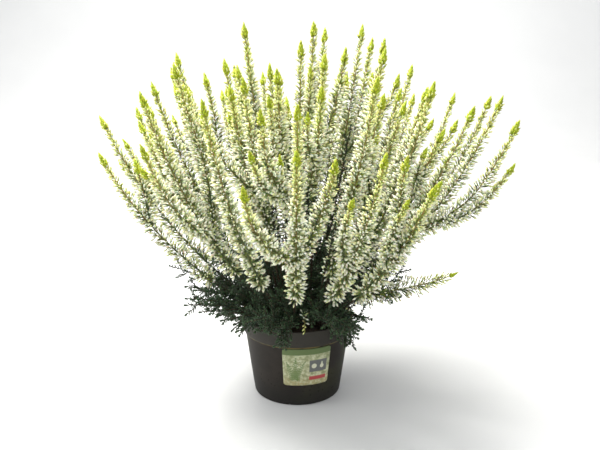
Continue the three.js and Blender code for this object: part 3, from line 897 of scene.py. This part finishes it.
def soil_height(x, y):
    """The peat's top: gentle waves, a fine roughness, and a slight fall towards the pot's wall."""
    waves = np.sin(0.31 * x + 1) * np.cos(0.27 * y) + 0.6 * np.sin(0.11 * x - 0.19 * y)
    fine = np.sin(1.9 * x + 2.3 * np.sin(1.3 * y)) * np.sin(2.1 * y + 1.7 * np.sin(1.1 * x))
    return SOIL_TOP + 0.9 * waves + 0.45 * fine - 0.0006 * (x * x + y * y)


rings = np.linspace(0, SOIL_EDGE, 46)[1:][::-1]
outline = np.array([[0, 5.0], [21, 5.0], [44.2, 5.0], [53.4, 68], [54.6, 73]]
                   + [[r, SOIL_TOP] for r in rings] + [[0, SOIL_TOP]])
points, faces = lathe(outline, 96)
top = points[:, 2] > 76
points[top, 2] = soil_height(points[top, 0], points[top, 1])
rng = np.random.default_rng(77)
brown = np.array([0.030, 0.019, 0.011])
tint = brown * rng.uniform(0.6, 1.5, (len(points), 1))
spots = polar(SOIL_EDGE * 0.97 * np.sqrt(rng.random(CRUMBS)), rng.uniform(0, TURN, CRUMBS), 0)
size = 0.5 + 1.7 * rng.random(CRUMBS) ** 3
spots[:, 2] = soil_height(spots[:, 0], spots[:, 1]) - 0.35 * size
lean = unit(rng.normal(0, 1, (CRUMBS, 3)) + [0, 0, 0.5])
crumbs = grow(CRUMB, spots - lean * size[:, None] * 0.6, lean, 1.9 * size, size)
crumb_tint = np.repeat(brown * rng.uniform(0.5, 2.6, (CRUMBS, 1)), len(CRUMB[0]), axis=0)
soil = make_mesh("peat", *merge_shapes([(points, faces, tint), (*crumbs, crumb_tint)]))
dress(soil, "soil")
print("peat triangles:", len(soil.data.polygons))

# %% [markdown]
# Shader nodes add up quickly, so a small class wraps each output socket. Adding or multiplying two
# of these wires makes the Math node for it, and one method makes every other kind of node.

# %% A wire class for shader maths
class Wire:
    """An output socket. Arithmetic on wires and numbers makes Math nodes in the same material."""

    def __init__(self, tree, socket=None):
        self.tree = tree
        self.socket = socket

    def node(self, kind, inputs=None, output=0, **settings):
        """A new node: its settings first, then a value or a wire for each input, by name or place."""
        made = self.tree.nodes.new("ShaderNode" + kind)
        for name, value in settings.items():
            setattr(made, name, value)
        for name, value in (inputs or {}).items():
            if isinstance(value, Wire):
                self.tree.links.new(value.socket, made.inputs[name])
            else:
                made.inputs[name].default_value = value
        return Wire(self.tree, made.outputs[output] if made.outputs else None)

    def math(self, operation, a, b=0.0, c=0.0):
        """One Math node on wires or numbers."""
        return self.node("Math", {0: a, 1: b, 2: c}, operation=operation)

    def __add__(self, other):
        return self.math("ADD", self, other)

    def __sub__(self, other):
        return self.math("SUBTRACT", self, other)

    def __rsub__(self, other):
        return self.math("SUBTRACT", other, self)

    def __mul__(self, other):
        return self.math("MULTIPLY", self, other)

    def __truediv__(self, other):
        return self.math("DIVIDE", self, other)

    def __rtruediv__(self, other):
        return self.math("DIVIDE", other, self)

    __radd__ = __add__
    __rmul__ = __mul__

    def step(self, low, high):
        """0 below low and 1 above high, with a soft change between."""
        inputs = {"Value": self, "From Min": low, "From Max": high}
        return self.node("MapRange", inputs, interpolation_type="SMOOTHSTEP")

    def mix(self, a, b):
        """The colour a where this wire is 0, and b where it is 1."""
        return self.node("Mix", {0: self, 6: a, 7: b}, output=2, data_type="RGBA")

    def tinted(self, colour):
        """A colour made darker or lighter: its parts times this wire."""
        return self.node("VectorMath", {0: colour, 1: self}, operation="MULTIPLY")


# %% Helpers that every material uses
def rgb(red, green, blue):
    return (red, green, blue, 1.0)


def new_material(name):
    """An empty node material, and a wire to start from."""
    material = bpy.data.materials.new(name)
    material.use_nodes = True
    material.node_tree.nodes.clear()
    return material, Wire(material.node_tree)


def tint_of(start):
    """The colour that was given to each point of a mesh."""
    return start.node("Attribute", output="Color", attribute_name="tint", attribute_type="GEOMETRY")


def noise(start, place, scale, detail=3.0, roughness=0.6):
    """Soft noise from 0 to 1 on a place, with a scale in lumps per metre."""
    inputs = {"Vector": place, "Scale": scale, "Detail": detail, "Roughness": roughness}
    return start.node("TexNoise", inputs)


def finish_surface(material, start, colour, roughness, height, bump, **constants):
    """The shader that all materials share: colour and roughness from wires, and a bump in metres."""
    normal = start.node("Bump", {"Height": height, "Distance": 1.0, "Strength": bump})
    inputs = {"Base Color": colour, "Roughness": roughness, "Normal": normal}
    for name, value in constants.items():
        inputs[name.replace("_", " ")] = value
    shader = start.node("BsdfPrincipled", inputs)
    start.node("OutputMaterial", {"Surface": shader})
    return material


# %% [markdown]
# The plant's colours live in the tint attribute, so its materials start from that. Two sizes of
# noise then shift it: broad patches, as whole spikes differ, and fine mottling on each bud. Petals
# let a little light through, which a small subsurface weight gives.

# %% Materials for flowers and leaves
def plant_material(name, patch, mottle, roughness, bump, **constants):
    """A tint that noise makes lighter and darker by the shares patch and mottle."""
    material, start = new_material(name)
    place = start.node("TexCoord", output="Object")
    broad = noise(start, place, 22.0, 2.0)
    fine = noise(start, place, 900.0, 3.0)
    light = 1.0 + (broad - 0.5) * (2 * patch) + (fine - 0.5) * (2 * mottle)
    veins = noise(start, place, 2200.0, 2.0)
    rough = roughness + (fine - 0.5) * 0.3
    colour = tint_of(start).tinted(light)
    return finish_surface(material, start, colour, rough, veins, bump, **constants)


flowers = plant_material("heather buds", 0.12, 0.16, 0.55, 0.00012,
                         Subsurface_Weight=0.12, Subsurface_Scale=0.004, Specular_IOR_Level=0.35)
leaves = plant_material("heather needles", 0.35, 0.3, 0.45, 0.00015, Specular_IOR_Level=0.4)
for piece in flower_pieces:
    piece.data.materials.append(flowers)
for piece in leafy_pieces:
    piece.data.materials.append(leaves)

# %% [markdown]
# Nursery plastic is dull and a little uneven. Its brown gets darker towards the foot, which is painted
# shade near the floor, olive where algae grow, and paler on the lip, which is painted light, with a tan
# line of dust in the groove below it. A painted highlight runs along the rim's top edge.
# Fine grain, faint rings from the mould, scuffs and specks of peat break up the shine.

# %% Material for the pot
def pot_material():
    """Each layer is a mask from 0 to 1, from heights in metres and noise, that mixes in a colour."""
    material, start = new_material("olive plastic")
    place = start.node("TexCoord", output="Object")
    split = start.node("SeparateXYZ", {"Vector": place}, output="Z")
    patches = noise(start, place, 28.0, 4.0)
    grain = noise(start, place, 1500.0, 2.0)
    # Painted light: the lip, of the same plastic as the wall, is made paler.
    lip = split.step(0.0698, 0.0708)
    groove = split.step(0.0680, 0.0690) * (1.0 - split.step(0.0700, 0.0706))
    # Painted shade: the wall is made darker towards the foot, near the floor.
    painted_foot_shade = 1.0 - (split + (patches - 0.5) * 0.02).step(0.006, 0.040)
    # Painted highlight: a pale band along the rim's top edge.
    edge = split.step(0.0862, 0.0878)
    stretched = start.node("VectorMath", {0: place, 1: (40.0, 40.0, 900.0)}, operation="MULTIPLY")
    scuffs = noise(start, stretched, 1.0, 4.0, 0.7).step(0.62, 0.80)
    specks = start.node("TexVoronoi", {"Vector": place, "Scale": 260.0}, output="Distance")
    dirt = (1.0 - specks.step(0.12, 0.26)) * patches.step(0.46, 0.60)
    algae = noise(start, place, 17.0, 3.0).step(0.50, 0.68) * (1.0 - lip)
    wall = patches.step(0.3, 0.7).mix(rgb(0.017, 0.014, 0.011), rgb(0.031, 0.025, 0.020))
    colour = (algae * 0.65).mix(wall, rgb(0.034, 0.038, 0.013))
    # Painted shade towards the foot.
    colour = (painted_foot_shade * 0.8).mix(colour, rgb(0.016, 0.015, 0.013))
    # Painted light on the lip.
    colour = (lip * 0.7).mix(colour, rgb(0.047, 0.044, 0.036))
    colour = (groove * patches.step(0.40, 0.55) * 0.85).mix(colour, rgb(0.17, 0.135, 0.045))
    # A painted highlight along the rim's top edge, and real scuffs.
    colour = (edge * 0.3 + scuffs * 0.2).mix(colour, rgb(0.12, 0.11, 0.09))
    colour = (dirt * 0.8).mix(colour, rgb(0.010, 0.008, 0.006))
    rough = 0.52 + patches * 0.18 + scuffs * 0.12 + dirt * 0.3
    rings = start.math("SINE", split * 5200.0)
    height = grain + rings * 0.12 + dirt * 1.5
    return finish_surface(material, start, colour, rough, height, 0.00010, Specular_IOR_Level=0.18)


pot.data.materials.clear()
pot.data.materials.append(pot_material())

# %% [markdown]
# Damp peat is almost black, with browner crumbs and a few straw-coloured fibres. Each crumb already
# has its tint, so the material only adds lumps of noise, and the edges of Voronoi cells as fibres.

# %% Material for the peat
def peat_material():
    """The tint made lighter and darker by lumps, with fibres mixed in where the lumps are high."""
    material, start = new_material("peat")
    place = start.node("TexCoord", output="Object")
    lumps = noise(start, place, 260.0, 5.0, 0.7)
    fibres = start.node("TexVoronoi", {"Vector": place, "Scale": 700.0}, output="Distance",
                        feature="DISTANCE_TO_EDGE")
    straw = (1.0 - fibres.step(0.0, 0.05)) * lumps.step(0.5, 0.6)
    colour = tint_of(start).tinted(0.6 + lumps * 0.9)
    colour = (straw * 0.4).mix(colour, rgb(0.14, 0.09, 0.045))
    return finish_surface(material, start, colour, 0.82 + lumps * 0.15, lumps + straw * 0.4, 0.0012)


soil.data.materials.append(peat_material())

# %% [markdown]
# The sticker's print is drawn with arithmetic on its UV map. A box is four soft steps multiplied,
# and a disc is one step on a distance. The pattern is a plain one on mottled cream: an olive band, a
# grey panel with a sun and a drop, a red bar, and three leafy twigs with pale buds.

# %% Material for the sticker
def box(u, v, low_u, high_u, low_v, high_v, soft=0.006):
    """1 inside a rectangle of the print."""
    wide = u.step(low_u - soft, low_u + soft) * (1.0 - u.step(high_u - soft, high_u + soft))
    return wide * v.step(low_v - soft, low_v + soft) * (1.0 - v.step(high_v - soft, high_v + soft))


def disc(u, v, at_u, at_v, wide, tall, soft=0.12):
    """1 inside an ellipse: both distances are divided by its half width and half height."""
    x, y = (u - at_u) / wide, (v - at_v) / tall
    return 1.0 - (x * x + y * y).step(1 - soft, 1 + soft)


def printed_twig(u, v, foot, lean, low, high):
    """A twig that stands on a foot and curves aside by lean times the height squared. Its leaves are
    stripes that rise away from it, and they end at a half width that narrows to the top."""
    height = v - low
    side = u.math("ABSOLUTE", u - foot - height * height * lean)
    stripes = u.math("ABSOLUTE", u.math("FRACT", v * 17.0 - side * 16.0) - 0.5)
    wide = 0.05 * (1.0 - v.step(0.4 * low + 0.6 * high, high)) + 0.012
    leaf = (1.0 - stripes.step(0.22, 0.34)) * (1.0 - side.step(wide * 0.8, wide))
    stem = 1.0 - side.step(0.004, 0.009)
    return u.math("MAXIMUM", leaf, stem) * v.step(low, low + 0.01) * (1.0 - v.step(high - 0.01, high))


def sticker_material():
    """The print from the ground up: mottled paper, boxes, signs, twigs, buds and a fine raster."""
    material, start = new_material("printed paper")
    place = start.node("UVMap", uv_map="print")
    u = start.node("SeparateXYZ", {"Vector": place}, output="X")
    v = start.node("SeparateXYZ", {"Vector": place}, output="Y")
    mottle = noise(start, place, 9.0, 5.0, 0.65)
    blotch = noise(start, place, 26.0, 3.0)
    colour = mottle.step(0.38, 0.62).mix(rgb(0.24, 0.26, 0.12), rgb(0.54, 0.54, 0.35))
    ground = (1.0 - v.step(0.06, 0.30)) * blotch.step(0.40, 0.60)
    colour = (ground * 0.8).mix(colour, rgb(0.36, 0.28, 0.11))
    sky = v.step(0.45, 0.70) * blotch.step(0.45, 0.62)
    colour = (sky * 0.45).mix(colour, rgb(0.24, 0.32, 0.16))
    colour = box(u, v, -0.1, 1.1, 0.84, 1.1).mix(colour, rgb(0.10, 0.15, 0.045))
    colour = box(u, v, 0.55, 0.93, 0.36, 0.68).mix(colour, rgb(0.12, 0.125, 0.12))
    colour = box(u, v, 0.55, 0.93, 0.14, 0.24).mix(colour, rgb(0.40, 0.05, 0.05))
    signs = disc(u, v, 0.65, 0.52, 0.055, 0.064) + disc(u, v, 0.82, 0.50, 0.042, 0.054)
    signs = signs + disc(u, v, 0.82, 0.56, 0.018, 0.060)
    colour = signs.math("MINIMUM", signs, 1.0).mix(colour, rgb(0.62, 0.62, 0.46))
    leaves = printed_twig(u, v, 0.25, 0.05, 0.16, 0.78)
    for side_twig in ((0.19, -0.45, 0.14, 0.66), (0.30, 0.55, 0.12, 0.68)):
        leaves = leaves.math("MAXIMUM", leaves, printed_twig(u, v, *side_twig))
    colour = leaves.mix(colour, rgb(0.10, 0.17, 0.04))
    buds = start.node("TexVoronoi", {"Vector": place, "Scale": 30.0}, output="Distance")
    petals = (1.0 - buds.step(0.20, 0.28)) * disc(u, v, 0.27, 0.58, 0.17, 0.17, 0.4)
    colour = petals.mix(colour, rgb(0.80, 0.80, 0.68))
    dots = start.node("TexNoise", {"Vector": place, "Scale": 420.0, "Detail": 1.0})
    colour = (dots.step(0.5, 0.75) * 0.12).mix(colour, rgb(0.2, 0.2, 0.15))
    rough = 0.42 + mottle * 0.2
    return finish_surface(material, start, colour, rough, dots + mottle * 2.0, 0.00004)


sticker.data.materials.append(sticker_material())
print("materials:", [material.name for material in bpy.data.materials if material.users][:12])

# %% [markdown]
# A pale sweep stands in for the floor and the bright room behind: it runs level under the pot and
# then curves up. Soft light comes from above and behind, as through a glass roof. Weaker ones from
# the front and the left keep the shadows open, and one more lights the sweep.

# %% The floor
def sweep():
    """A level floor that bends up at the back along a quarter circle and then stands straight."""
    bend = np.linspace(0, math.pi / 2, 17)
    low = np.array([[-2.2, 0.0], [0.0, 0.0]])
    arc = np.stack([1.4 + 0.8 * np.sin(bend), 0.8 - 0.8 * np.cos(bend)], -1)
    line = np.concatenate([low, arc, [[2.2, 2.6]]])
    x = np.array([-3.0, 3.0])
    points = np.array([[a, y, z] for y, z in line for a in x]) / MM
    row = np.arange(len(line) - 1) * 2
    halves = [(row, row + 1, row + 3), (row, row + 3, row + 2)]
    return points, np.concatenate([np.stack(half, -1) for half in halves])


floor = make_mesh("floor", *sweep())
material, start = new_material("pale floor")
place = start.node("TexCoord", output="Object")
clouds = noise(start, place, 3.0, 4.0)
colour = clouds.mix(rgb(0.60, 0.60, 0.60), rgb(0.68, 0.68, 0.675))
floor.data.materials.append(
    finish_surface(material, start, colour, 0.5 + clouds * 0.2, noise(start, place, 60.0), 0.0004))
print("floor faces:", len(floor.data.polygons))


# %% The lights
def area_light(name, place, target, size, power, colour):
    """A square lamp at a place, turned to its target. power is in watts and size in metres."""
    lamp = bpy.data.lights.new(name, "AREA")
    lamp.shape = "SQUARE"
    lamp.size = size
    lamp.energy = power
    lamp.color = colour
    made = bpy.data.objects.new(name, lamp)
    bpy.context.scene.collection.objects.link(made)
    made.location = place
    made.rotation_euler = (Vector(target) - Vector(place)).to_track_quat("-Z", "Y").to_euler()


middle = (0.0, 0.0, 0.2)
area_light("roof", (-0.45, 0.40, 1.6), middle, 1.2, 66.0, (1.0, 0.99, 0.95))
area_light("front", (0.5, -1.6, 1.5), middle, 1.2, 14.0, (1.0, 1.0, 1.0))
area_light("left", (-1.3, -0.3, 0.9), middle, 0.8, 9.0, (0.97, 0.99, 1.0))
area_light("backdrop", (0.0, 0.9, 1.5), (0.0, 2.2, 0.9), 1.4, 14.0, (1.0, 1.0, 1.0))

world = bpy.data.worlds.new("bright room")
world.use_nodes = True
world.node_tree.nodes["Background"].inputs["Color"].default_value = rgb(0.93, 0.96, 1.0)
world.node_tree.nodes["Background"].inputs["Strength"].default_value = 0.55
scene = bpy.context.scene
scene.world = world
scene.view_settings.view_transform = "Standard"
print("lights:", len(bpy.data.lights))

# %% [markdown]
# The camera looks slightly down on the plant from the front, as the photographer did, and close
# enough for the plant to fill most of the frame.

# %% The camera
lens = bpy.data.cameras.new("camera")
lens.lens = 46.0
lens.clip_start = 0.05
camera = bpy.data.objects.new("camera", lens)
scene.collection.objects.link(camera)
camera.location = (0.0, -0.774, 0.395)
aim = Vector((0.003, 0.0, 0.184)) - camera.location
camera.rotation_euler = aim.to_track_quat("-Z", "Y").to_euler()
scene.camera = camera
print("camera distance in metres:", round(aim.length, 3))
